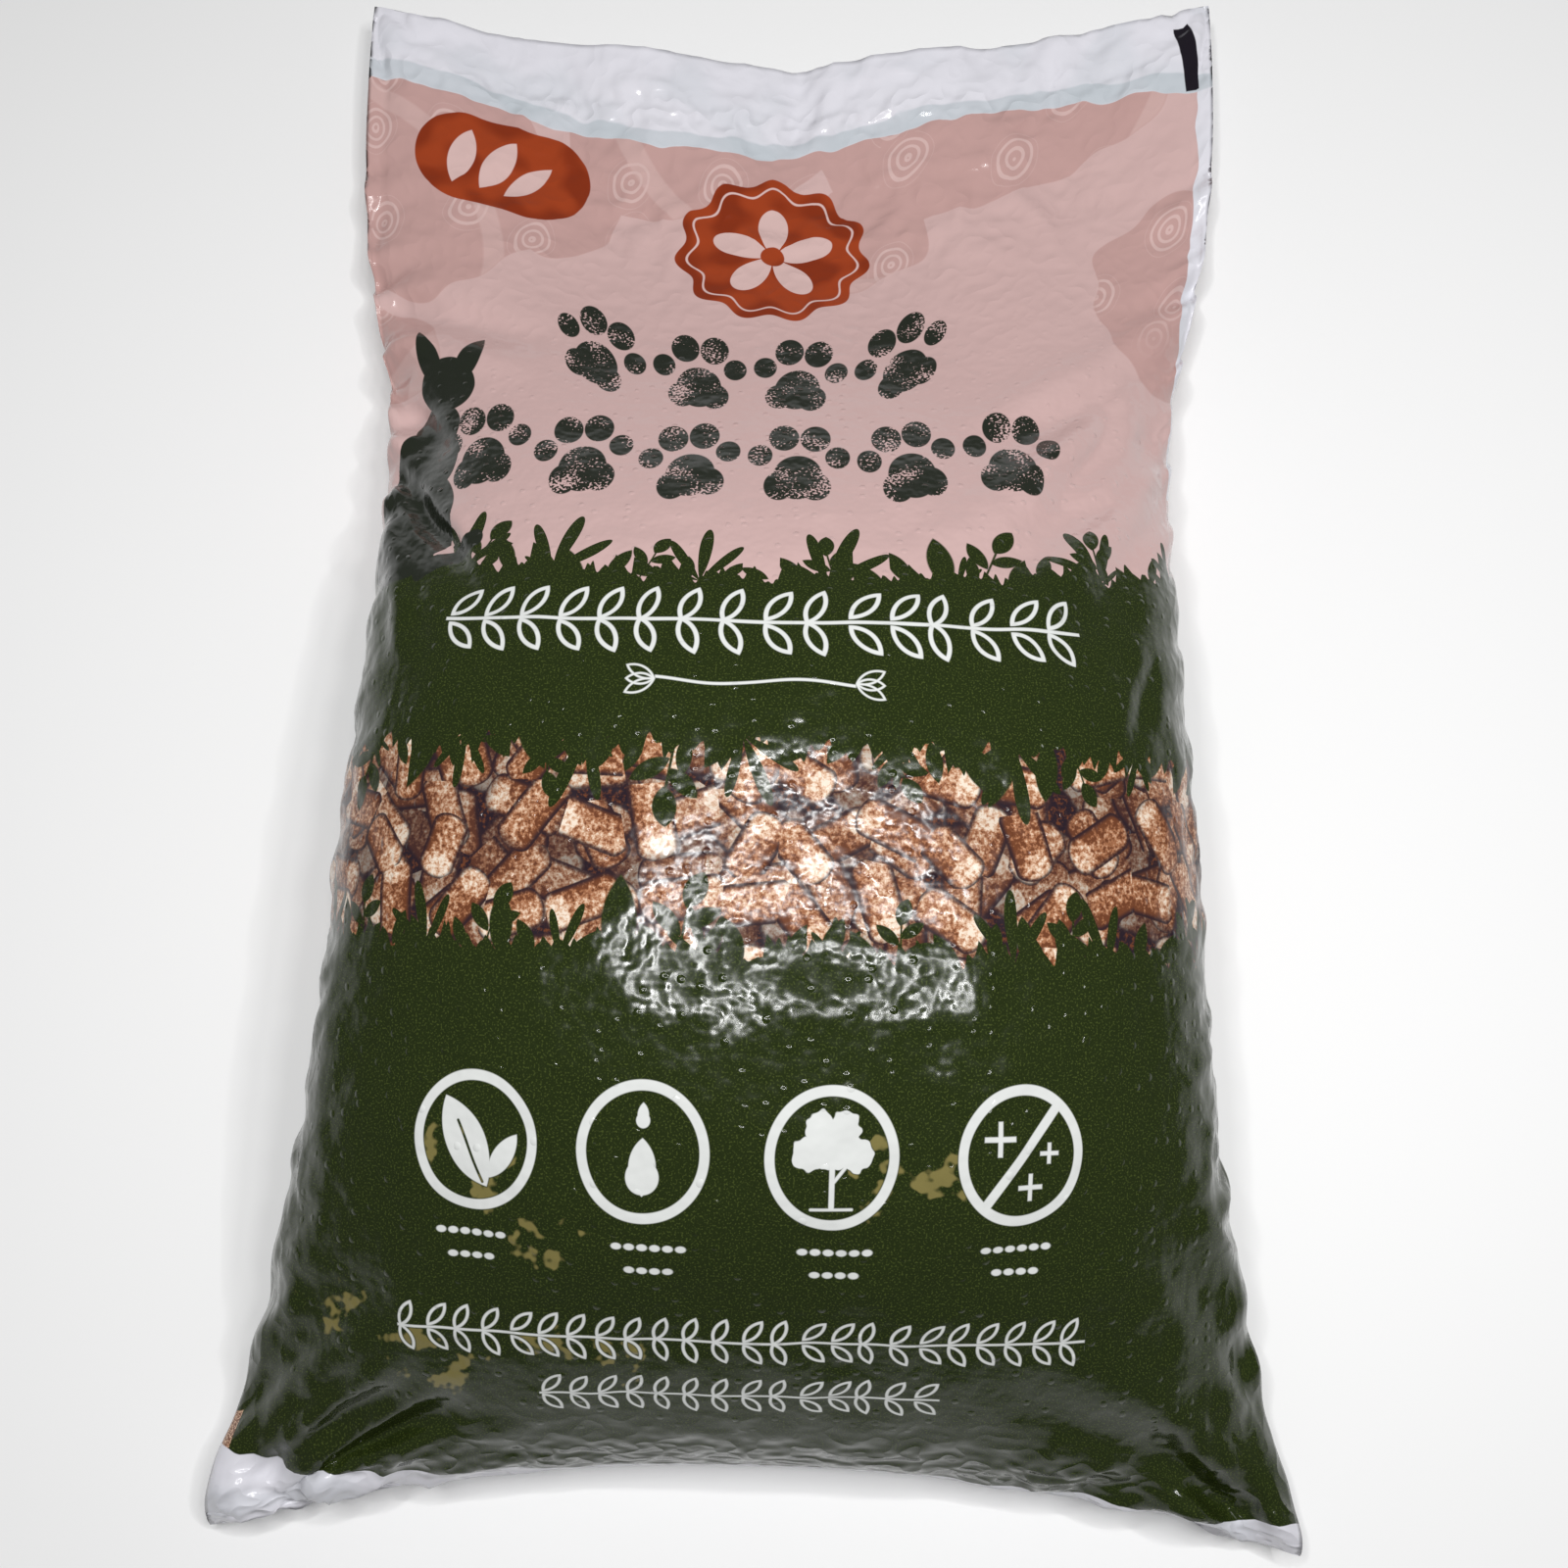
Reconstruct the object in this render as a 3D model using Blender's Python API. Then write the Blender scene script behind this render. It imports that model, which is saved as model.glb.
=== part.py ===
"""Pillow bag of printed polythene film, filled with wood pellets and lying on its back.

Metres, +Z up. The printed front faces up, the top of the bag points along +Y, and the
origin is under the middle of the bag on the surface it lies on.
"""

import bpy
import numpy as np

# Film tube, lay-flat
FILM_WIDTH = 0.500
FILM_LENGTH = 0.892
FILM_PAIR = 0.0016

# Filled form: runs are measured along the film, up from the bottom edge or down from the top
FILL_HEIGHT = 0.190
FOOT_SLOPE = np.radians(77.0)
FLAP_LENGTH = 0.085
SHOULDER_RUN = 0.446
FRONT_SHARE = 0.56
BELLY_FOOT_RUN = 0.090
BELLY_TOP_RUN = 0.330
FILLED_THICKNESS = 0.025

# The back is pressed flat where it carries the load
SETTLE = 0.007
SETTLE_DEPTH = 0.060

# Roundness of the section: 2 is an ellipse, more is boxier
FOOT_POWER = 1.57
FRONT_POWER = 2.16
BACK_POWER = 3.0
FOOT_POWER_RUN = 0.138

# Heights of the two flat ends, at mid width and at the corners
SEAL_HEIGHT = 0.027
EAR_HEIGHT = 0.012
EAR_RUN = 0.250
FLAP_HEIGHT = 0.016
CORNER_HEIGHT = 0.020
CORNER_RUN = 0.330

# How far the side folds run ahead of the middle, towards the top of the bag
SEAL_BOW = -0.034
BODY_BOW = 0.025
FOOT_BOW_RUN = 0.167
BOW_POWER = 2.2
TOP_BOW = 0.036
TOP_BOW_RUN = 0.480
TOP_BOW_POWER = 1.4
TOP_SKEW = 0.008

# Share of the film that the side gathers take up at the waist
WAIST_GATHER = 0.086
WAIST_FROM_FOOT = 0.595
WAIST_SPAN = 0.150

# Drape folds: side, then inset from the side fold and height up the film of both ends,
# half width and depth
DRAPE_FOLDS = (
    (1, 0.018, 0.600, 0.165, 0.440, 0.016, 0.0075),
    (1, 0.012, 0.560, 0.130, 0.400, 0.014, 0.0065),
    (1, 0.014, 0.640, 0.140, 0.560, 0.015, 0.0060),
    (-1, 0.014, 0.640, 0.075, 0.505, 0.016, 0.0090),
    (-1, 0.010, 0.560, 0.110, 0.440, 0.015, 0.0070),
    (-1, 0.012, 0.690, 0.120, 0.660, 0.014, 0.0060),
    (-1, 0.010, 0.070, 0.100, 0.150, 0.014, 0.0075),
    (-1, 0.025, 0.030, 0.140, 0.080, 0.013, 0.0065),
    (1, 0.010, 0.080, 0.085, 0.170, 0.014, 0.0075),
    (1, 0.025, 0.030, 0.140, 0.090, 0.013, 0.0065),
)
FOLD_SHOULDER = 0.5
FOLD_SHOULDER_OFFSET = 2.0

# Pleat at mid width in the flat film at the top
PLEAT_OFFSET = 0.005
PLEAT_LENGTH = 0.100
PLEAT_WIDTH = 0.011
PLEAT_DEPTH = 0.0060

# Gathers along the side folds
SIDE_PITCH = 0.042
SIDE_PITCH_FINE = 0.0256
SIDE_DEPTH = 0.0045
SIDE_REACH = 0.030
SIDE_SLANT = 0.4
SIDE_FOOT_RUN = (0.02, 0.12)
SIDE_TOP_RUN = (0.06, 0.20)

# Pleats at the bottom corners, and slack waves in the flat film at the top
EAR_PITCH = 0.048
EAR_DEPTH = 0.0060
EAR_REACH = 0.070
EAR_INSET = (0.020, 0.150)
EAR_SLANT = 0.35
FLAP_WAVE = 0.0035
FLAP_WAVE_PITCH = 0.150
FLAP_WAVE_SLANT = 0.3

# Facets, and points used to space the film evenly round a section
ACROSS = 40
ALONG = 68
SECTION_POINTS = 181
WIDTH_STEPS = 30

FILM_GREEN = (0.030, 0.036, 0.013, 1.0)
FILM_ROUGHNESS = 0.22


def eased(x, start, end):
    """0 before start, 1 after end, and a smooth step between them."""
    t = np.clip((x - start) / (end - start), 0.0, 1.0)
    return t * t * (3.0 - 2.0 * t)


def crest_heights(up):
    """Height of the front at mid width: an arc up from the bottom seal, then a shoulder down."""
    radius = (FILL_HEIGHT - SEAL_HEIGHT) / (1.0 - np.cos(FOOT_SLOPE))
    slope = FOOT_SLOPE - np.clip(up / radius, 0.0, FOOT_SLOPE)
    foot = SEAL_HEIGHT + radius * (np.cos(slope) - np.cos(FOOT_SLOPE))
    filled = eased(FILM_LENGTH - FLAP_LENGTH - up, 0.0, SHOULDER_RUN)
    return FILM_PAIR + FLAP_HEIGHT + (foot - FLAP_HEIGHT) * filled


def belly_heights(up):
    """Height of the back at mid width: on the ground, but lifted towards both ends."""
    foot = 1.0 - eased(up, 0.0, BELLY_FOOT_RUN)
    top = eased(up, FILM_LENGTH - BELLY_TOP_RUN, FILM_LENGTH - FLAP_LENGTH)
    return np.minimum(SEAL_HEIGHT * foot + FLAP_HEIGHT * top, crest_heights(up) - FILM_PAIR)


def half_section(half_width, height, power):
    """Points along half a superellipse, one row for each section, and the length run so far."""
    turn = np.linspace(0.0, np.pi, SECTION_POINTS)[None, :]
    x = -half_width[:, None] * np.sign(np.cos(turn)) * np.abs(np.cos(turn)) ** (2.0 / power)
    z = height[:, None] * np.abs(np.sin(turn)) ** (2.0 / power)
    step = np.hypot(np.diff(x, axis=1), np.diff(z, axis=1))
    run = np.cumsum(np.pad(step, ((0, 0), (1, 0))), axis=1)
    return x, z, run


def half_widths(above, below, front_power, back_power, film):
    """The half width at which the mean of front and back takes up the film, by halving."""
    narrow = np.full(len(film), 0.25 * FILM_WIDTH)
    wide = np.full(len(film), 0.5 * FILM_WIDTH)
    for _ in range(WIDTH_STEPS):
        middle = (narrow + wide) / 2.0
        front = half_section(middle, above, front_power)[2][:, -1]
        back = half_section(middle, below, back_power)[2][:, -1]
        too_wide = (front + back) / 2.0 > film
        wide = np.where(too_wide, middle, wide)
        narrow = np.where(too_wide, narrow, middle)
    return (narrow + wide) / 2.0


def spread(across, half_width, height, power):
    """x and height of the film points of each section, spaced evenly along its curve."""
    x, z, run = half_section(half_width, height, power)
    wanted = 0.5 + across / FILM_WIDTH
    rows = range(len(half_width))
    even_x = np.array([np.interp(wanted * run[i, -1], run[i], x[i]) for i in rows])
    even_z = np.array([np.interp(wanted * run[i, -1], run[i], z[i]) for i in rows])
    return even_x, even_z


def sections(across, up, above, below):
    """x of front and back, and how far they rise and drop from the side line."""
    full = eased(up, 0.0, FOOT_POWER_RUN)[:, None]
    front_power = FOOT_POWER + (FRONT_POWER - FOOT_POWER) * full
    back_power = FOOT_POWER + (BACK_POWER - FOOT_POWER) * full
    gather = WAIST_GATHER * np.exp(-(((up - WAIST_FROM_FOOT) / WAIST_SPAN) ** 2))
    half = half_widths(above, below, front_power, back_power, FILM_WIDTH * (1.0 - gather))
    return spread(across, half, above, front_power), spread(across, half, below, back_power)


def side_lines(share, up, lying):
    """Height that each section hangs from: the lying height, bent down or up at the corners."""
    ear = (EAR_HEIGHT - SEAL_HEIGHT) * (1.0 - eased(up, 0.0, EAR_RUN))
    corner = (CORNER_HEIGHT - FLAP_HEIGHT) * eased(up, FILM_LENGTH - CORNER_RUN, FILM_LENGTH)
    return lying[:, None] + (ear + corner)[:, None] * np.abs(share) ** BOW_POWER


def lengthwise(share, up, crest):
    """y of the film points: the film's length less what its rise takes up, bowed across."""
    flat = np.sqrt(np.maximum(np.diff(up) ** 2 - np.diff(crest) ** 2, 0.0))
    y = np.concatenate([[0.0], np.cumsum(flat)])[:, None]
    foot = eased(up, 0.0, FOOT_BOW_RUN)[:, None]
    top = eased(up, FILM_LENGTH - TOP_BOW_RUN, FILM_LENGTH)[:, None]
    foot_bow = (SEAL_BOW + (BODY_BOW - SEAL_BOW) * foot) * np.abs(share) ** BOW_POWER
    top_bow = TOP_BOW * np.abs(share) ** TOP_BOW_POWER + TOP_SKEW * share
    return y + foot_bow * (1.0 - top) + top_bow * top


def drape(across, up):
    """Drape folds: a valley with a raised shoulder along each line, fading at both ends."""
    depth = np.zeros(across.shape)
    for side, inset0, y0, inset1, y1, width, deepest in DRAPE_FOLDS:
        x0 = side * (0.5 * FILM_WIDTH - inset0)
        x1 = side * (0.5 * FILM_WIDTH - inset1)
        length = np.hypot(x1 - x0, y1 - y0)
        along = ((across - x0) * (x1 - x0) + (up - y0) * (y1 - y0)) / length
        aside = ((across - x0) * (y1 - y0) - (up - y0) * (x1 - x0)) / (length * width)
        fade = eased(along, -width, width) * eased(length - along, -width, 0.5 * length)
        shoulder = FOLD_SHOULDER * np.exp(-((aside - FOLD_SHOULDER_OFFSET) ** 2))
        depth += deepest * fade * (shoulder - np.exp(-(aside**2)))
    return depth


def pleat(across, up):
    """The crease at mid width, deepest at the top edge."""
    deep = eased(up, FILM_LENGTH - PLEAT_LENGTH, FILM_LENGTH)
    return -PLEAT_DEPTH * deep * np.exp(-(((across - PLEAT_OFFSET) / PLEAT_WIDTH) ** 2))


def gathers(across, up):
    """Two slanted waves across the side folds, deepest at the fold itself."""
    inset = 0.5 * FILM_WIDTH - np.abs(across)
    filled = eased(up, *SIDE_FOOT_RUN) * eased(FILM_LENGTH - up, *SIDE_TOP_RUN)
    turn = 2.0 * np.pi * (up + SIDE_SLANT * inset * np.sign(across))
    wave = np.sin(turn / SIDE_PITCH) + 0.5 * np.sin(turn / SIDE_PITCH_FINE + 1.7)
    return SIDE_DEPTH * np.exp(-((inset / SIDE_REACH) ** 2)) * filled * wave


def end_pleats(across, up):
    """Pleats at the bottom corners, and slack waves in the flat film at the top."""
    inset = 0.5 * FILM_WIDTH - np.abs(across)
    ear = (1.0 - eased(inset, *EAR_INSET)) * (1.0 - eased(up, 0.3 * EAR_REACH, EAR_REACH))
    ear = EAR_DEPTH * ear * np.sin(2.0 * np.pi * (across + EAR_SLANT * up) / EAR_PITCH)
    slack = eased(up, FILM_LENGTH - SHOULDER_RUN, FILM_LENGTH)
    wave = np.sin(2.0 * np.pi * (across + FLAP_WAVE_SLANT * up) / FLAP_WAVE_PITCH)
    return ear + FLAP_WAVE * slack * wave


def film_faces(across, up):
    """Points of the front and of the back film, as two arrays of rows up the bag."""
    crest = crest_heights(up)
    belly = belly_heights(up)
    thick = crest - belly
    above = thick * FRONT_SHARE
    below = thick - above
    (front_x, rise), (back_x, drop) = sections(across, up, above, below)

    share = (2.0 * across / FILM_WIDTH)[None, :]
    lying = belly + below - SETTLE * eased(below, 0.0, SETTLE_DEPTH)
    side_line = side_lines(share, up, lying)
    y = lengthwise(share, up, crest)

    grid_across, grid_up = np.meshgrid(across, up)
    crumple = gathers(grid_across, grid_up) + end_pleats(grid_across, grid_up)
    crumple += drape(grid_across, grid_up) + pleat(grid_across, grid_up)
    inner = 1.0 - share**6
    filled = eased(thick, FILM_PAIR, FILLED_THICKNESS)[:, None] * inner
    back_z = np.maximum(side_line - drop + crumple * (1.0 - filled), 0.0)
    front_z = np.maximum(side_line + rise + crumple, back_z + FILM_PAIR * inner)
    return np.stack([front_x, y, front_z], axis=-1), np.stack([back_x, y, back_z], axis=-1)


def quads(ids):
    """The faces of a grid of point numbers."""
    corners = np.stack([ids[:-1, :-1], ids[:-1, 1:], ids[1:, 1:], ids[1:, :-1]], axis=-1)
    return [tuple(face) for face in corners.reshape(-1, 4).tolist()]


def bag_mesh():
    """One closed body: front and back share their side folds and are joined at both ends."""
    across = np.linspace(-0.5 * FILM_WIDTH, 0.5 * FILM_WIDTH, ACROSS + 1)
    up = np.linspace(0.0, FILM_LENGTH, ALONG + 1)
    front, back = film_faces(across, up)
    centre = (front[..., 1].min() + front[..., 1].max()) / 2.0
    front[..., 1] -= centre
    back[..., 1] -= centre
    points = np.concatenate([front.reshape(-1, 3), back[:, 1:-1].reshape(-1, 3)])

    front_ids = np.arange(front[..., 0].size).reshape(ALONG + 1, ACROSS + 1)
    back_ids = front_ids.copy()
    back_ids[:, 1:-1] = front_ids.size + np.arange((ALONG + 1) * (ACROSS - 1)).reshape(ALONG + 1, -1)
    faces = quads(front_ids) + [face[::-1] for face in quads(back_ids)]
    bottom = quads(np.stack([back_ids[0], front_ids[0]]))
    top = [face[::-1] for face in quads(np.stack([back_ids[-1], front_ids[-1]]))]
    faces += [tuple(dict.fromkeys(face)) for face in bottom + top]

    mesh = bpy.data.meshes.new("litter_bag")
    mesh.from_pydata(points.tolist(), [], faces)
    mesh.validate()
    mesh.shade_smooth()
    return mesh


def film_material():
    """Glossy printed polythene, in the green that covers most of the bag."""
    material = bpy.data.materials.new("printed_film")
    material.use_nodes = True
    shader = material.node_tree.nodes["Principled BSDF"]
    shader.inputs["Base Color"].default_value = FILM_GREEN
    shader.inputs["Roughness"].default_value = FILM_ROUGHNESS
    shader.inputs["Metallic"].default_value = 0.0
    return material


for old in list(bpy.data.objects):
    bpy.data.objects.remove(old, do_unlink=True)

parts = bpy.data.collections.new("cat_litter_bag")
bpy.context.scene.collection.children.link(parts)

bag = bpy.data.objects.new("litter_bag", bag_mesh())
bag.data.materials.append(film_material())
parts.objects.link(bag)
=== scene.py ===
"""A pillow bag of printed polythene film, full of wood pellets and lying on its back.

Metres, +Z up, the top of the bag towards +Y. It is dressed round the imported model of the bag
and photographed from above, a little from the foot end.
"""

import bpy
import numpy as np
from mathutils import Matrix, Vector


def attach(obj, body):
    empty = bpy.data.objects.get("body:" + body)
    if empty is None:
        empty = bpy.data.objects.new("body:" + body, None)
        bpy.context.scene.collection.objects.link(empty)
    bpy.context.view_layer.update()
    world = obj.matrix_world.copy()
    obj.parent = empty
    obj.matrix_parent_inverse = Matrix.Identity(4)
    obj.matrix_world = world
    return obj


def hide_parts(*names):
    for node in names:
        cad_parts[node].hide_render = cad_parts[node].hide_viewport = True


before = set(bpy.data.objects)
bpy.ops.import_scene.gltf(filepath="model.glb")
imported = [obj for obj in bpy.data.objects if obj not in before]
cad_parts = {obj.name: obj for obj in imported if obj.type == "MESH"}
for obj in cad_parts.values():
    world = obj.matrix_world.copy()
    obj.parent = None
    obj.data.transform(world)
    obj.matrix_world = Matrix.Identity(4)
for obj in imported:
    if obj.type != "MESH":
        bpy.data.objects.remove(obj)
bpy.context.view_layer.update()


# Film tube. One tube of thin glossy polythene, pressed flat, welded across its bottom edge,
# filled with pellets and welded across its top. Its front, its back and its two side folds
# are one closed skin, so it is one grid of film carried round the tube.

FILM_WIDTH = 0.500
FILM_LENGTH = 0.892
FILM_PAIR = 0.0016
FILL_HEIGHT = 0.190
FOOT_SLOPE = np.radians(77.0)
FLAP_LENGTH = 0.085
SHOULDER_RUN = 0.446
FRONT_SHARE = 0.56
BELLY_FOOT_RUN = 0.090
BELLY_TOP_RUN = 0.330
FILLED_THICKNESS = 0.025
SETTLE = 0.007
SETTLE_DEPTH = 0.060
FOOT_POWER = 1.57
FRONT_POWER = 2.16
BACK_POWER = 3.0
FOOT_POWER_RUN = 0.138
SEAL_HEIGHT = 0.027
EAR_HEIGHT = 0.012
EAR_RUN = 0.250
FLAP_HEIGHT = 0.016
CORNER_HEIGHT = 0.020
CORNER_RUN = 0.330
SEAL_BOW = -0.034
BODY_BOW = 0.025
FOOT_BOW_RUN = 0.167
BOW_POWER = 2.2
TOP_BOW = 0.036
TOP_BOW_RUN = 0.480
TOP_BOW_POWER = 1.4
TOP_SKEW = 0.008
WAIST_GATHER = 0.086
WAIST_FROM_FOOT = 0.595
WAIST_SPAN = 0.150
SECTION_POINTS = 181
WIDTH_STEPS = 30
CELLS_ACROSS = 80
CELLS_ALONG = 142


def eased(x, start, end):
    """0 before start, 1 after end, and a smooth step between them."""
    t = np.clip((x - start) / (end - start), 0.0, 1.0)
    return t * t * (3.0 - 2.0 * t)


def crest_heights(up):
    """Height of the front at mid width: an arc up from the bottom seal, then a shoulder down."""
    radius = (FILL_HEIGHT - SEAL_HEIGHT) / (1.0 - np.cos(FOOT_SLOPE))
    slope = FOOT_SLOPE - np.clip(up / radius, 0.0, FOOT_SLOPE)
    foot = SEAL_HEIGHT + radius * (np.cos(slope) - np.cos(FOOT_SLOPE))
    filled = eased(FILM_LENGTH - FLAP_LENGTH - up, 0.0, SHOULDER_RUN)
    return FILM_PAIR + FLAP_HEIGHT + (foot - FLAP_HEIGHT) * filled


def belly_heights(up):
    """Height of the back at mid width: on the ground, but lifted towards both ends."""
    foot = 1.0 - eased(up, 0.0, BELLY_FOOT_RUN)
    top = eased(up, FILM_LENGTH - BELLY_TOP_RUN, FILM_LENGTH - FLAP_LENGTH)
    return np.minimum(SEAL_HEIGHT * foot + FLAP_HEIGHT * top, crest_heights(up) - FILM_PAIR)


def half_section(half_width, height, power):
    """Points along half a superellipse, one row for each section, and the length run so far."""
    turn = np.linspace(0.0, np.pi, SECTION_POINTS)[None, :]
    x = -half_width[:, None] * np.sign(np.cos(turn)) * np.abs(np.cos(turn)) ** (2.0 / power)
    z = height[:, None] * np.abs(np.sin(turn)) ** (2.0 / power)
    step = np.hypot(np.diff(x, axis=1), np.diff(z, axis=1))
    run = np.cumsum(np.pad(step, ((0, 0), (1, 0))), axis=1)
    return x, z, run


def half_widths(above, below, front_power, back_power, film):
    """The half width at which the mean of front and back takes up the film, by halving."""
    narrow = np.full(len(film), 0.25 * FILM_WIDTH)
    wide = np.full(len(film), 0.5 * FILM_WIDTH)
    for _ in range(WIDTH_STEPS):
        middle = (narrow + wide) / 2.0
        front = half_section(middle, above, front_power)[2][:, -1]
        back = half_section(middle, below, back_power)[2][:, -1]
        too_wide = (front + back) / 2.0 > film
        wide = np.where(too_wide, middle, wide)
        narrow = np.where(too_wide, narrow, middle)
    return (narrow + wide) / 2.0


def spread(across, half_width, height, power):
    """x and height of the film points of each section, spaced evenly along its curve."""
    x, z, run = half_section(half_width, height, power)
    wanted = 0.5 + across / FILM_WIDTH
    rows = range(len(half_width))
    even_x = np.array([np.interp(wanted * run[i, -1], run[i], x[i]) for i in rows])
    even_z = np.array([np.interp(wanted * run[i, -1], run[i], z[i]) for i in rows])
    return even_x, even_z


def sections(across, up, above, below):
    """x of front and back, and how far they rise and drop from the side line."""
    full = eased(up, 0.0, FOOT_POWER_RUN)[:, None]
    front_power = FOOT_POWER + (FRONT_POWER - FOOT_POWER) * full
    back_power = FOOT_POWER + (BACK_POWER - FOOT_POWER) * full
    gather = WAIST_GATHER * np.exp(-(((up - WAIST_FROM_FOOT) / WAIST_SPAN) ** 2))
    half = half_widths(above, below, front_power, back_power, FILM_WIDTH * (1.0 - gather))
    return spread(across, half, above, front_power), spread(across, half, below, back_power)


def side_lines(share, up, lying):
    """Height that each section hangs from: the lying height, bent down or up at the corners."""
    ear = (EAR_HEIGHT - SEAL_HEIGHT) * (1.0 - eased(up, 0.0, EAR_RUN))
    corner = (CORNER_HEIGHT - FLAP_HEIGHT) * eased(up, FILM_LENGTH - CORNER_RUN, FILM_LENGTH)
    return lying[:, None] + (ear + corner)[:, None] * np.abs(share) ** BOW_POWER


def lengthwise(share, up, crest):
    """y of the film points: the film's length less what its rise takes up, bowed across."""
    flat = np.sqrt(np.maximum(np.diff(up) ** 2 - np.diff(crest) ** 2, 0.0))
    y = np.concatenate([[0.0], np.cumsum(flat)])[:, None]
    foot = eased(up, 0.0, FOOT_BOW_RUN)[:, None]
    top = eased(up, FILM_LENGTH - TOP_BOW_RUN, FILM_LENGTH)[:, None]
    foot_bow = (SEAL_BOW + (BODY_BOW - SEAL_BOW) * foot) * np.abs(share) ** BOW_POWER
    top_bow = TOP_BOW * np.abs(share) ** TOP_BOW_POWER + TOP_SKEW * share
    y = y + foot_bow * (1.0 - top) + top_bow * top
    return y - (y.min() + y.max()) / 2.0


def film_grid(fineness):
    """The film's grid: metres across from mid width, and metres up from the bottom edge."""
    across = np.linspace(-0.5 * FILM_WIDTH, 0.5 * FILM_WIDTH, CELLS_ACROSS * fineness + 1)
    return across, np.linspace(0.0, FILM_LENGTH, CELLS_ALONG * fineness + 1)


def film_form(across, up):
    """Points of the front and of the back of the filled bag, as two arrays of rows up the bag."""
    crest = crest_heights(up)
    belly = belly_heights(up)
    above = (crest - belly) * FRONT_SHARE
    below = (crest - belly) * (1.0 - FRONT_SHARE)
    (front_x, rise), (back_x, drop) = sections(across, up, above, below)
    share = (2.0 * across / FILM_WIDTH)[None, :]
    lying = belly + below - SETTLE * eased(below, 0.0, SETTLE_DEPTH)
    side_line = side_lines(share, up, lying)
    y = lengthwise(share, up, crest)
    back_z = np.maximum(side_line - drop, 0.0)
    front_z = np.maximum(side_line + rise, back_z + FILM_PAIR * (1.0 - share**6))
    return np.stack([front_x, y, front_z], axis=-1), np.stack([back_x, y, back_z], axis=-1)


def tube_ids(rows, columns):
    """Point numbers of front and back: the back shares the front's two side folds."""
    front_ids = np.arange(rows * columns).reshape(rows, columns)
    back_ids = front_ids.copy()
    inner = np.arange(rows * (columns - 2)).reshape(rows, columns - 2)
    back_ids[:, 1:-1] = front_ids.size + inner
    return front_ids, back_ids


def quads(ids):
    """The corners of each face of a grid, in turn round the face."""
    corners = [ids[:-1, :-1], ids[:-1, 1:], ids[1:, 1:], ids[1:, :-1]]
    return np.stack(corners, axis=-1).reshape(-1, 4)


def tube_points(front, back):
    """The points of both sides in one list, without the back's copies of the side folds."""
    return np.concatenate([front.reshape(-1, 3), back[:, 1:-1].reshape(-1, 3)])


def tube_mesh(name, front, back):
    """A closed mesh of the film, with its film coordinates as a UV map that runs round the tube."""
    rows, columns = front.shape[:2]
    front_ids, back_ids = tube_ids(rows, columns)
    x = np.linspace(-0.5 * FILM_WIDTH, 0.5 * FILM_WIDTH, columns)
    place = np.stack(np.meshgrid(x, np.linspace(0.0, FILM_LENGTH, rows)), axis=-1)
    behind = (FILM_WIDTH, 0.0) + place * (-1.0, 1.0)
    grid = np.arange(rows * columns).reshape(rows, columns)
    corners = [quads(front_ids), quads(back_ids)[:, ::-1]]
    film = [place.reshape(-1, 2)[quads(grid)], behind.reshape(-1, 2)[quads(grid)[:, ::-1]]]
    for row, turn in ((0, 1), (-1, -1)):
        corners.append(quads(np.stack([back_ids[row], front_ids[row]]))[1:-1, ::turn])
        film.append(np.repeat(place[row, 1:-2, None], 4, axis=1))
    mesh = bpy.data.meshes.new(name)
    mesh.from_pydata(tube_points(front, back), [], np.concatenate(corners))
    film = np.concatenate(film).astype(np.float32)
    mesh.uv_layers.new(name="film").data.foreach_set("uv", film.reshape(-1))
    mesh.shade_smooth()
    return mesh


# Fill. The pellets press the film outwards until it is tight, and the film that is left over
# gathers along the side folds. Cloth that is cut to the flat film and blown up from the filled
# form finds those gathers; how far it moves each point is then laid on a finer grid.

FINENESS = 2
SIM_FRAMES = 18
SIM_QUALITY = 5
FILL_PRESSURE = 3.0
GATHER_SPAN = 4
GATHER_MOST = 0.0045
GATHER_REACH = 0.050


def flat_film(across, up, front):
    """The film laid flat, front and back a film pair apart: the size that the cloth is cut to."""
    x, y = np.meshgrid(across, up)
    gap = 0.5 * FILM_PAIR * (1.0 - (x / x.max()) ** 6)
    middle = front[..., 1].mean() - y.mean()
    return (np.stack([x, y + middle, side], axis=-1) for side in (gap, -gap))


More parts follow.
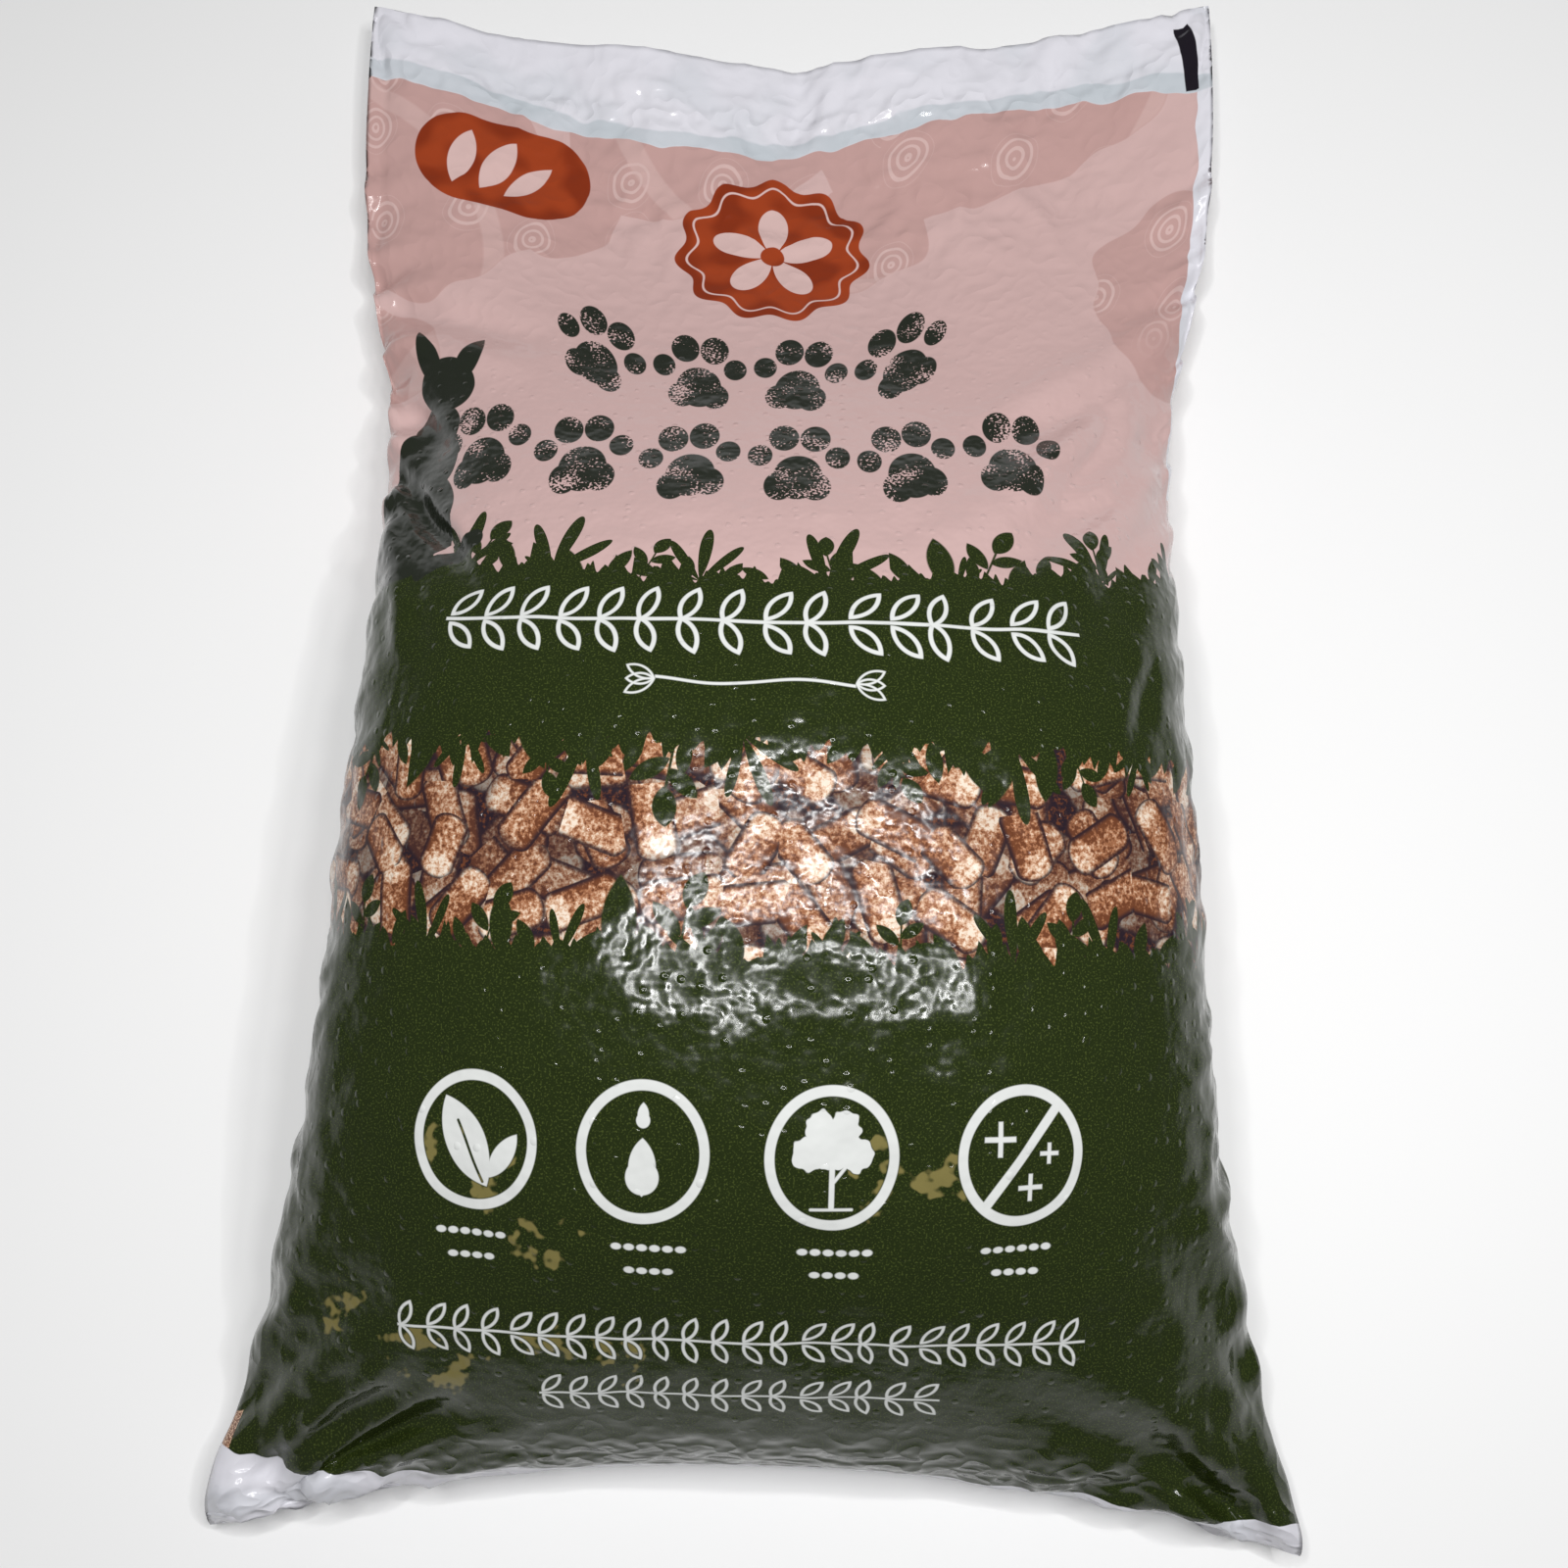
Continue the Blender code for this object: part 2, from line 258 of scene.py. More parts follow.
def moves_when_filled(across, up, front, back):
    """How far cloth cut to the flat film moves from the filled form, for front and for back."""
    sim = bpy.data.objects.new("filled_cloth", tube_mesh("filled_cloth", front, back))
    bpy.context.scene.collection.objects.link(sim)
    sim.shape_key_add(name="filled")
    cut = sim.shape_key_add(name="flat")
    cut.data.foreach_set("co", tube_points(*flat_film(across, up, front)).reshape(-1))
    start = tube_points(front, back)
    lies = np.flatnonzero(start[:, 2] < 1e-5)
    held = sim.vertex_groups.new(name="held")
    held.add(lies.tolist(), 1.0, "REPLACE")

    cloth = sim.modifiers.new("fill", "CLOTH").settings
    cloth.quality = SIM_QUALITY
    cloth.mass = 0.05
    cloth.tension_stiffness = 40.0
    cloth.compression_stiffness = 10.0
    cloth.shear_stiffness = 10.0
    cloth.bending_stiffness = 0.05
    cloth.use_pressure = True
    cloth.uniform_pressure_force = FILL_PRESSURE
    cloth.vertex_group_mass = "held"
    cloth.rest_shape_key = cut
    cloth.effector_weights.gravity = 0.0
    for number in range(1, SIM_FRAMES + 1):
        bpy.context.scene.frame_set(number)
    moved = sim.evaluated_get(bpy.context.evaluated_depsgraph_get()).to_mesh()
    points = np.empty(len(moved.vertices) * 3, np.float32)
    moved.vertices.foreach_get("co", points)
    bpy.context.scene.frame_set(1)
    bpy.data.objects.remove(sim)
    move = points.reshape(-1, 3).astype(float) - start
    return (move[ids] for ids in tube_ids(len(up), len(across)))


def averaged(values, span):
    """The grid with each point replaced by the mean of those up to span cells away."""
    for axis in (0, 1):
        old = np.moveaxis(values, axis, 0)
        wide = np.concatenate([old[:1].repeat(span + 1, axis=0), old, old[-1:].repeat(span, axis=0)])
        total = np.cumsum(wide, axis=0)
        new = (total[2 * span + 1:] - total[:-2 * span - 1]) / (2 * span + 1)
        values = np.moveaxis(new, 0, axis)
    return values


def gathers_only(move, across):
    """The fine part of a move, near the side folds: the bag's own form stays as it was."""
    fine = move - averaged(move, GATHER_SPAN)
    reach = np.linalg.norm(fine, axis=-1, keepdims=True)
    fine *= np.tanh(reach / GATHER_MOST) * GATHER_MOST / np.maximum(reach, 1e-9)
    inset = 0.5 * FILM_WIDTH - np.abs(across)
    return fine * np.exp(-((inset / GATHER_REACH) ** 2))[None, :, None]


def finer(values):
    """The grid with its cells halved: new points lie on a cubic through four old ones."""
    for axis in (0, 1):
        old = np.moveaxis(values, axis, 0)
        wide = np.concatenate([2.0 * old[:1] - old[1:2], old, 2.0 * old[-1:] - old[-2:-1]])
        new = np.empty((2 * len(old) - 1, *old.shape[1:]))
        new[::2] = old
        new[1::2] = (9.0 * (wide[1:-2] + wide[2:-1]) - wide[:-3] - wide[3:]) / 16.0
        values = np.moveaxis(new, 0, axis)
    return values


across, up = film_grid(FINENESS)
front, back = film_form(across, up)
coarse_across, coarse_up = film_grid(1)
moves = moves_when_filled(coarse_across, coarse_up, *film_form(coarse_across, coarse_up))
front_move, back_move = (finer(gathers_only(move, coarse_across)) for move in moves)
front += front_move
back += back_move


# Folds. The film is stiff enough to hold the creases it was packed with: long drape folds that
# run in from the waist and from the foot corners, a pleat in the flat top, waves in the slack
# film there, gathers along the side folds, and crumpled ears at the foot corners.

DRAPE_FOLDS = (
    (1, 0.018, 0.600, 0.165, 0.440, 0.016, 0.0075),
    (1, 0.012, 0.560, 0.130, 0.400, 0.014, 0.0065),
    (1, 0.014, 0.640, 0.140, 0.560, 0.015, 0.0060),
    (-1, 0.014, 0.640, 0.075, 0.505, 0.016, 0.0090),
    (-1, 0.010, 0.560, 0.110, 0.440, 0.015, 0.0070),
    (-1, 0.012, 0.690, 0.120, 0.660, 0.014, 0.0060),
    (-1, 0.010, 0.070, 0.100, 0.150, 0.014, 0.0075),
    (-1, 0.025, 0.030, 0.140, 0.080, 0.013, 0.0065),
    (1, 0.010, 0.080, 0.085, 0.170, 0.014, 0.0075),
    (1, 0.025, 0.030, 0.140, 0.090, 0.013, 0.0065),
)
FOLD_SHOULDER = 0.5
FOLD_SHOULDER_OFFSET = 2.0
PLEAT_OFFSET = 0.005
PLEAT_LENGTH = 0.100
PLEAT_WIDTH = 0.011
PLEAT_DEPTH = 0.0060
SIDE_PITCH = 0.042
SIDE_PITCH_FINE = 0.0256
SIDE_DEPTH = 0.0045
SIDE_REACH = 0.030
SIDE_SLANT = 0.4
SIDE_FOOT_RUN = (0.02, 0.12)
SIDE_TOP_RUN = (0.06, 0.20)
EAR_PITCH = 0.048
EAR_DEPTH = 0.0060
EAR_REACH = 0.070
EAR_INSET = (0.020, 0.150)
EAR_SLANT = 0.35
FLAP_WAVE = 0.0035
FLAP_WAVE_PITCH = 0.150
FLAP_WAVE_SLANT = 0.3


def drape(x, y):
    """Drape folds: a valley with a raised shoulder along each line, fading at both ends."""
    depth = np.zeros(x.shape)
    for side, inset0, y0, inset1, y1, width, deepest in DRAPE_FOLDS:
        x0 = side * (0.5 * FILM_WIDTH - inset0)
        x1 = side * (0.5 * FILM_WIDTH - inset1)
        length = np.hypot(x1 - x0, y1 - y0)
        run = ((x - x0) * (x1 - x0) + (y - y0) * (y1 - y0)) / length
        aside = ((x - x0) * (y1 - y0) - (y - y0) * (x1 - x0)) / (length * width)
        fade = eased(run, -width, width) * eased(length - run, -width, 0.5 * length)
        shoulder = FOLD_SHOULDER * np.exp(-((aside - FOLD_SHOULDER_OFFSET) ** 2))
        depth += deepest * fade * (shoulder - np.exp(-(aside**2)))
    return depth


def pleat(x, y):
    """The crease at mid width, deepest at the top edge."""
    deep = eased(y, FILM_LENGTH - PLEAT_LENGTH, FILM_LENGTH)
    return -PLEAT_DEPTH * deep * np.exp(-(((x - PLEAT_OFFSET) / PLEAT_WIDTH) ** 2))


def gathers(x, y):
    """Two slanted waves across the side folds, deepest at the fold itself."""
    inset = 0.5 * FILM_WIDTH - np.abs(x)
    filled = eased(y, *SIDE_FOOT_RUN) * eased(FILM_LENGTH - y, *SIDE_TOP_RUN)
    turn = 2.0 * np.pi * (y + SIDE_SLANT * inset * np.sign(x))
    wave = np.sin(turn / SIDE_PITCH) + 0.5 * np.sin(turn / SIDE_PITCH_FINE + 1.7)
    return SIDE_DEPTH * np.exp(-((inset / SIDE_REACH) ** 2)) * filled * wave


def end_pleats(x, y):
    """Pleats at the foot corners, and slack waves in the flat film at the top."""
    inset = 0.5 * FILM_WIDTH - np.abs(x)
    ear = (1.0 - eased(inset, *EAR_INSET)) * (1.0 - eased(y, 0.3 * EAR_REACH, EAR_REACH))
    ear = EAR_DEPTH * ear * np.sin(2.0 * np.pi * (x + EAR_SLANT * y) / EAR_PITCH)
    slack = eased(y, FILM_LENGTH - SHOULDER_RUN, FILM_LENGTH)
    wave = np.sin(2.0 * np.pi * (x + FLAP_WAVE_SLANT * y) / FLAP_WAVE_PITCH)
    return ear + FLAP_WAVE * slack * wave


def fan(start, step, slant, turn, count, length, width, deep):
    """Creases side by side: each starts a step further on, and slants some degrees more."""
    creases = []
    for number in range(count):
        u, v = np.array(start) + np.array(step) * number
        angle = np.radians(slant + turn * number)
        creases.append((u, v, angle, length, width, deep))
    return creases


# Sharp creases as they lie on the printed front: valleys where the depth is above zero, else
# ridges. They slant in from the waist, up from the foot corners and down from the top edge.
WAIST_LEFT = (fan((-0.230, 0.610), (0.010, -0.055), -50.0, -4.0, 3, 0.080, 0.0050, 0.0024)
              + fan((-0.225, 0.550), (0.0, 0.0), -50.0, 0.0, 1, 0.130, 0.0046, 0.0056)
              + fan((-0.225, 0.540), (0.012, -0.042), -45.0, -7.0, 3, 0.062, 0.0048, -0.0023)
              + fan((-0.252, 0.605), (0.0, -0.050), 20.0, -10.0, 2, 0.026, 0.0060, 0.0040)
              + fan((-0.240, 0.700), (0.0, 0.0), -50.0, 0.0, 1, 0.080, 0.0080, 0.0022))
WAIST_RIGHT = (fan((0.195, 0.605), (0.030, -0.020), -118.0, -10.0, 2, 0.125, 0.0072, 0.0043)
               + fan((0.230, 0.655), (-0.020, -0.090), -125.0, -15.0, 2, 0.085, 0.0080, -0.0031)
               + fan((0.252, 0.640), (0.0, -0.050), -160.0, -5.0, 2, 0.030, 0.0060, 0.0040)
               + fan((0.190, 0.425), (0.0, 0.0), -115.0, 0.0, 1, 0.055, 0.0045, 0.0020))
FOOT_CORNERS = (fan((-0.240, 0.050), (0.015, -0.010), 36.0, -3.0, 3, 0.095, 0.0058, 0.0047)
                + fan((-0.220, 0.030), (0.0, 0.0), 35.0, 0.0, 1, 0.090, 0.0055, -0.0034)
                + fan((0.240, 0.045), (-0.015, -0.015), 133.0, 7.0, 2, 0.070, 0.0058, 0.0034))
TOP_TENTS = (fan((0.155, 0.895), (0.0, 0.0), -110.0, 40.0, 2, 0.060, 0.0052, -0.0028)
             + fan((0.140, 0.845), (0.030, 0.0), -130.0, 55.0, 2, 0.060, 0.0060, -0.0020)
             + fan((-0.250, 0.880), (0.0, 0.0), -35.0, 0.0, 1, 0.050, 0.0050, 0.0022)
             + fan((0.215, 0.860), (0.0, 0.0), 175.0, 0.0, 1, 0.035, 0.0045, 0.0018))
CREASE_WAVER = 0.004
LIP_RISE = 0.35
LIP_OFFSET = 2.2
PRESSED_RISE = (0.0010, 0.0006)
PRESSED_SIZE = (0.034, 0.013)
RIDGE_RISE = (0.0020, 0.0010)
RIDGE_SIZE = (0.024, 0.011)
SIDE_SLACK_REACH = 0.055


def clouds(x, y, size, seed):
    """Smooth random heights from -1 to 1, with humps about as wide as size: cubic between knots."""
    draw = np.random.default_rng(seed)
    knots = draw.uniform(-1.0, 1.0, (int(FILM_LENGTH / size) + 9, int(FILM_WIDTH / size) + 9))
    column = (x + 0.5 * FILM_WIDTH) / size + 3.0
    line = y / size + 3.0
    total = np.zeros(x.shape)
    for i in (-1, 0, 1, 2):
        for j in (-1, 0, 1, 2):
            row = np.floor(line).astype(int) + i
            col = np.floor(column).astype(int) + j
            weight = 1.0
            for away in (np.abs(line - row), np.abs(column - col)):
                inner = (1.5 * away - 2.5) * away**2 + 1.0
                outer = ((-0.5 * away + 2.5) * away - 4.0) * away + 2.0
                weight = weight * np.where(away < 1.0, inner, outer)
            total += weight * knots[row, col]
    return total


def creases(x, y):
    """Sharp valleys with low lips along lines that waver a little, fading at both ends."""
    height = np.zeros(x.shape)
    waver = CREASE_WAVER * clouds(x, y, 0.030, 5)
    for x0, y0, angle, length, width, deep in WAIST_LEFT + WAIST_RIGHT + FOOT_CORNERS + TOP_TENTS:
        run = (x - x0) * np.cos(angle) + (y - y0) * np.sin(angle)
        aside = (x - x0) * np.sin(angle) - (y - y0) * np.cos(angle) + waver
        fade = eased(run, -width, 2.0 * width) * eased(length - run, -width, 0.4 * length)
        valley = np.exp(-(np.hypot(aside, 0.3 * width) - 0.3 * width) / width)
        lips = np.exp(-((np.abs(aside) / width - LIP_OFFSET) ** 2))
        height += deep * fade * (LIP_RISE * lips - valley)
    return height


def lumps(x, y, filled, seed):
    """Pellets pressing from inside, and sharp little creases where the film is slack."""
    tight = filled * (0.35 + 0.65 * eased(y, 0.62, 0.42))
    pressed = (PRESSED_RISE[0] * clouds(x, y, PRESSED_SIZE[0], seed)
               + PRESSED_RISE[1] * clouds(x, y, PRESSED_SIZE[1], seed + 1))
    inset = 0.5 * FILM_WIDTH - np.abs(x)
    below = 0.35 + 0.65 * eased(y, 0.46, 0.34)
    side = 1.4 * np.exp(-((inset / SIDE_SLACK_REACH) ** 2)) * eased(y, 0.78, 0.55) * below
    flap = 0.8 * (1.0 - filled) * eased(y, 0.60, 0.80)
    ear = 1.4 * (1.0 - eased(y, 0.020, 0.070)) * eased(np.abs(x), 0.05, 0.18)
    slack = side + flap + ear
    warped_x = x + 0.014 * clouds(x, y, 0.050, seed + 2)
    warped_y = y + 0.012 * clouds(x, y, 0.040, seed + 3)
    ridges = 1.0 - 2.0 * np.abs(clouds(warped_x, warped_y, RIDGE_SIZE[0], seed + 4))
    fine = 1.0 - 2.0 * np.abs(clouds(warped_x, warped_y, RIDGE_SIZE[1], seed + 5))
    return pressed * tight + slack * (RIDGE_RISE[0] * ridges + RIDGE_RISE[1] * fine)


def normals(points):
    """Unit normals of a grid of points."""
    cross = np.cross(np.gradient(points, axis=1), np.gradient(points, axis=0))
    return cross / np.maximum(np.linalg.norm(cross, axis=-1, keepdims=True), 1e-12)


x, y = np.meshgrid(across, up)
inner = 1.0 - (x / x.max()) ** 6
thickness = (crest_heights(up) - belly_heights(up))[:, None]
filled = eased(thickness, FILM_PAIR, FILLED_THICKNESS) * inner
crumple = gathers(x, y) + end_pleats(x, y) + drape(x, y) + pleat(x, y)
front[..., 2] += crumple
back[..., 2] += crumple * (1.0 - filled)
front += normals(front) * (creases(x, y) * inner)[..., None]
front += normals(front) * (lumps(x, y, filled, 11) * inner)[..., None]
back -= normals(back) * (lumps(x, y, filled, 29) * inner)[..., None]
back[..., 2] = np.maximum(back[..., 2], 0.0)
front[..., 2] = np.maximum(front[..., 2], back[..., 2] + FILM_PAIR * inner)
front[:, (0, -1)] = back[:, (0, -1)] = np.maximum(front[:, (0, -1)], (-np.inf, -np.inf, 0.0))


# Print. Four plates of ink lie on the outside of the film: pink above, dark green below, a picture
# of wood pellets between them, and white and rust marks on top. The film's UV map is in metres, so
# every mark is drawn at its real size, from mid width and from the bottom edge.


class Ink:
    """A value carried by a shader socket; arithmetic on it adds Math nodes."""

    tree = None

    def __init__(self, socket):
        self.socket = socket

    @classmethod
    def node(cls, kind, settings=None, inputs=None, output=0):
        """One output of a new node: its settings are set first, then its inputs, by name or number."""
        made = cls.tree.nodes.new("ShaderNode" + kind)
        for name, value in (settings or {}).items():
            setattr(made, name, value)
        for name, value in (inputs or {}).items():
            if isinstance(value, Ink):
                cls.tree.links.new(value.socket, made.inputs[name])
            else:
                made.inputs[name].default_value = value
        return Ink(made.outputs[output])

    @classmethod
    def math(cls, operation, *values, clamp=False):
        """A Math node on these values."""
        return cls.node("Math", {"operation": operation, "use_clamp": clamp}, dict(enumerate(values)))

    def __add__(self, other):
        return Ink.math("ADD", self, other)

    def __sub__(self, other):
        return Ink.math("SUBTRACT", self, other)

    def __rsub__(self, other):
        return Ink.math("SUBTRACT", other, self)

    def __mul__(self, other):
        return Ink.math("MULTIPLY", self, other)

    def __truediv__(self, other):
        return Ink.math("DIVIDE", self, other)

    def __pow__(self, other):
        return Ink.math("POWER", self, other)

    def __abs__(self):
        return Ink.math("ABSOLUTE", self)

    __radd__ = __add__
    __rmul__ = __mul__


def rgb(red, green, blue):
    """A colour given as 0 to 255 on a screen, in the renderer's own light values."""
    screen = np.array((red, green, blue)) / 255.0
    light = np.where(screen <= 0.04045, screen / 12.92, ((screen + 0.055) / 1.055) ** 2.4)
    return (*light.tolist(), 1.0)


def vector(operation, first, second=None, output=0):
    """A Vector Math node on two vectors, or on one."""
    inputs = {0: first} if second is None else {0: first, 1: second}
    return Ink.node("VectorMath", {"operation": operation}, inputs, output)


def lower(first, *others):
    """The least of some distances: the union of their shapes."""
    for other in others:
        first = Ink.math("MINIMUM", first, other)
    return first


def upper(first, *others):
    """The greatest of some distances: what their shapes have in common."""
    for other in others:
        first = Ink.math("MAXIMUM", first, other)
    return first


def inside(distance, soft=0.0005):
    """1 where a distance is below zero, 0 where it is above, with an edge as wide as soft."""
    return Ink.math("MULTIPLY_ADD", distance, -1.0 / soft, 0.5, clamp=True)


def fade(value, start, end):
    """0 before start, 1 after end, and a smooth step between them."""
    settings = {"interpolation_type": "SMOOTHSTEP"}
    return Ink.node("MapRange", settings, {"Value": value, "From Min": start, "From Max": end})


def painted(colour, ink, mask):
    """The colour with an ink laid over it where the mask is 1."""
    settings = {"data_type": "RGBA"}
    return Ink.node("Mix", settings, {"Factor": mask, 6: colour, 7: ink}, 2)


def to_point(place, centre):
    """Distance from a place to a point."""
    return vector("DISTANCE", place, (*centre, 0.0), 1)


def disc(place, centre, radius):
    """Distance to a round shape."""
    return to_point(place, centre) - radius


def leaf(place, root, tip, width):
    """Distance to a leaf from root to tip: what two circles through both have in common."""
    root = np.array(root)
    tip = np.array(tip)
    half = np.linalg.norm(tip - root) / 2.0
    radius = (half**2 + (width / 2.0) ** 2) / width
    aside = np.array((root - tip)[::-1]) * (1.0, -1.0) / (2.0 * half) * (radius - width / 2.0)
    middle = (root + tip) / 2.0
    sides = [to_point(place, (middle + aside).tolist()), to_point(place, (middle - aside).tolist())]
    return upper(*sides) - radius


def stroke(place, start, end, width):
    """Distance to a straight line with round ends."""
    start = np.array((*start, 0.0))
    run = np.array((*end, 0.0)) - start
    from_start = vector("SUBTRACT", place, start.tolist())
    share = Ink.math("MULTIPLY", vector("DOT_PRODUCT", from_start, run.tolist(), 1),
                     1.0 / (run @ run), clamp=True)
    nearest = Ink.node("VectorMath", {"operation": "SCALE"}, {0: run.tolist(), "Scale": share})
    return vector("DISTANCE", from_start, nearest, 1) - width / 2.0


def bar(place, centre, half, lean=0.0):
    """Distance to a rectangle of these half sizes, leaning by an angle."""
    along = (np.cos(lean), np.sin(lean), 0.0)
    aside = (-np.sin(lean), np.cos(lean), 0.0)
    reach = []
    for axis, size in ((along, half[0]), (aside, half[1])):
        off = vector("DOT_PRODUCT", place, axis, 1) - float(np.dot(axis[:2], centre))
        reach.append(abs(off) - size)
    return upper(*reach)


def noise(place, scale, detail=2.0, roughness=0.5, output=0):
    """Soft random clouds, about 0.5 on average."""
    inputs = {"Vector": place, "Scale": scale, "Detail": detail, "Roughness": roughness}
    return Ink.node("TexNoise", {"noise_dimensions": "2D"}, inputs, output)


def parts(place):
    """The first two numbers of a vector."""
    split = Ink.node("SeparateXYZ", None, {0: place})
    return split, Ink(split.socket.node.outputs[1])


def joined(x, y, z=0.0):
    """A vector of these numbers."""
    return Ink.node("CombineXYZ", None, {0: x, 1: y, 2: z})


def chance(number, output=1):
    """Random numbers that belong to a whole number."""
    return Ink.node("TexWhiteNoise", {"noise_dimensions": "1D"}, {"W": number}, output)


# Dark green plate. It covers the film from below the pellets to the foot, and ends above in a
# border of leaves. The same leaves overlap the pellet picture from above and from below. The
# film is inked in three lengths, foot, band and top, so that no place works out all the marks.

FOIL_GREEN = rgb(33, 42, 15)
FOIL_GREEN_DOT = rgb(64, 74, 32)
BORDER_HEIGHT = 0.460
BORDER_RISE = 0.32
PELLETS_TOP = 0.372
PELLETS_FOOT = 0.284
FROND_PITCH = 0.062
FRONDS = 5.0
SPRIG_PITCH = 0.083
LEAF_PITCH = 0.017
BAND_FROM = 0.245
TOP_FROM = 0.412
TOOTH_PITCH = 0.0085
TOOTH_HEIGHT = 0.010

printed_film = bpy.data.materials.new("printed_film")
printed_film.use_nodes = True
Ink.tree = printed_film.node_tree
Ink.tree.nodes.remove(Ink.tree.nodes["Principled BSDF"])

round_tube, height = parts(Ink.node("UVMap", {"uv_map": "film"}))
across_front = round_tube - Ink.math("GREATER_THAN", round_tube, FILM_WIDTH) * (2.0 * FILM_WIDTH)
place = joined(across_front, height)

dots = noise(place, 1100.0, 1.0)
green = painted(FOIL_GREEN, FOIL_GREEN_DOT, fade(dots, 0.55, 0.75))

over_border = height - (across_front * across_front * BORDER_RISE + BORDER_HEIGHT)
in_picture = lower(PELLETS_TOP - height, height - PELLETS_FOOT)
clear = upper(over_border, in_picture)
in_top = Ink.math("GREATER_THAN", height, TOP_FROM)
middle_zone = Ink.math("GREATER_THAN", height, (PELLETS_TOP + PELLETS_FOOT) / 2.0)
along = across_front + in_top * 3.371 + middle_zone * 5.127


def cells(number, pitch):
    """The whole number of each cell along a line, and the way from the cell's middle."""
    share = number / pitch
    index = Ink.math("FLOOR", share)
    return index, (share - index - 0.5) * pitch


def luck(index):
    """Three random numbers from 0 to 1 for a cell."""
    split = Ink.node("SeparateColor", None, {0: chance(index)})
    outputs = split.socket.node.outputs
    return split, Ink(outputs[1]), Ink(outputs[2])


def turned(place, angle):
    """The place turned about the origin."""
    return Ink.node("VectorRotate", {"rotation_type": "Z_AXIS"}, {"Vector": place, "Angle": angle})


def fronds(along, clear):
    """Distance to fans of thin leaves that stand on a line, one in each cell."""
    index, x = cells(along, FROND_PITCH)
    shift, size, lean = luck(index)
    x = x + (shift - 0.5) * (0.4 * FROND_PITCH)
    rise = clear + 0.004
    angle = Ink.math("ARCTAN2", x, rise) + (lean - 0.5) * 0.8
    blade = abs(Ink.math("COSINE", angle * FRONDS)) ** 1.7
    reach = blade * (size * 0.026 + 0.016) * Ink.math("COSINE", angle * 0.9)
    return Ink.node("VectorMath", {"operation": "LENGTH"}, {0: joined(x, rise)}, 1) - reach


def leaf_sprigs(along, clear):
    """Distance to stems with three round leaves each, one stem in each cell."""
    index, x = cells(along, SPRIG_PITCH)
    shift, size, lean = luck(index + 23.0)
    foot = joined(x + (shift - 0.5) * (0.6 * SPRIG_PITCH), clear)
    foot = turned(foot, (lean - 0.5) * 0.9)
    foot = Ink.node("VectorMath", {"operation": "SCALE"}, {0: foot, "Scale": 1.35 - size * 0.6})
    return lower(stroke(foot, (0.0, -0.010), (0.001, 0.024), 0.0011),
                 leaf(foot, (0.0, 0.017), (0.004, 0.032), 0.009),
                 leaf(foot, (0.0, 0.010), (0.013, 0.019), 0.007),
                 leaf(foot, (0.0, 0.006), (-0.013, 0.017), 0.007))


def leaves(along, clear):
    """Distance to single leaves that stand on a line, leaning at random."""
    index, x = cells(along, LEAF_PITCH)
    shift, size, lean = luck(index + 71.0)
    root = joined(x + (shift - 0.5) * (0.3 * LEAF_PITCH), clear)
    root = turned(root, (lean - 0.5) * 2.4)
    scaled = Ink.node("VectorMath", {"operation": "SCALE"}, {0: root, "Scale": 1.5 - size})
    return leaf(scaled, (0.0, -0.004), (0.0, 0.017), 0.0080)


wander = Ink.node("TexNoise", {"noise_dimensions": "1D"},
                  {"W": along, "Scale": 70.0, "Detail": 2.0, "Roughness": 0.7})
tooth = Ink.math("PINGPONG", along + wander * 0.020, 0.5 * TOOTH_PITCH) * (2.0 / TOOTH_PITCH)
edge = clear - (wander - 0.42) * 0.026 - tooth * wander * TOOTH_HEIGHT + 0.002
hedge = lower(edge, fronds(along, clear), leaf_sprigs(along, clear), leaves(along, clear))
bare = inside(0.0 - hedge)


# Pellet picture. A band across the bag shows the wood pellets inside, printed in natural colours
# and larger than life. It is drawn as four layers of short rods in the shade of those above.

PELLET_GAP = rgb(38, 28, 36)
PELLET_DARK = rgb(104, 60, 38)
PELLET_TAN = rgb(160, 108, 76)
PELLET_LIGHT = rgb(206, 170, 142)
PELLET_CREAM = rgb(228, 212, 194)
PELLET_RADIUS = 0.0090
PELLET_CELLS = 32.0
PELLET_SHIFTS = ((0.31, 0.12), (0.77, 0.45), (0.05, 0.83), (0.52, 0.27))
PELLET_SHADES = (0.30, 0.58, 0.85, 1.0)
PATCH = (-0.300, -0.241, 0.048, 0.072)

wood_grain = noise(place, 400.0, 2.0, 0.75)


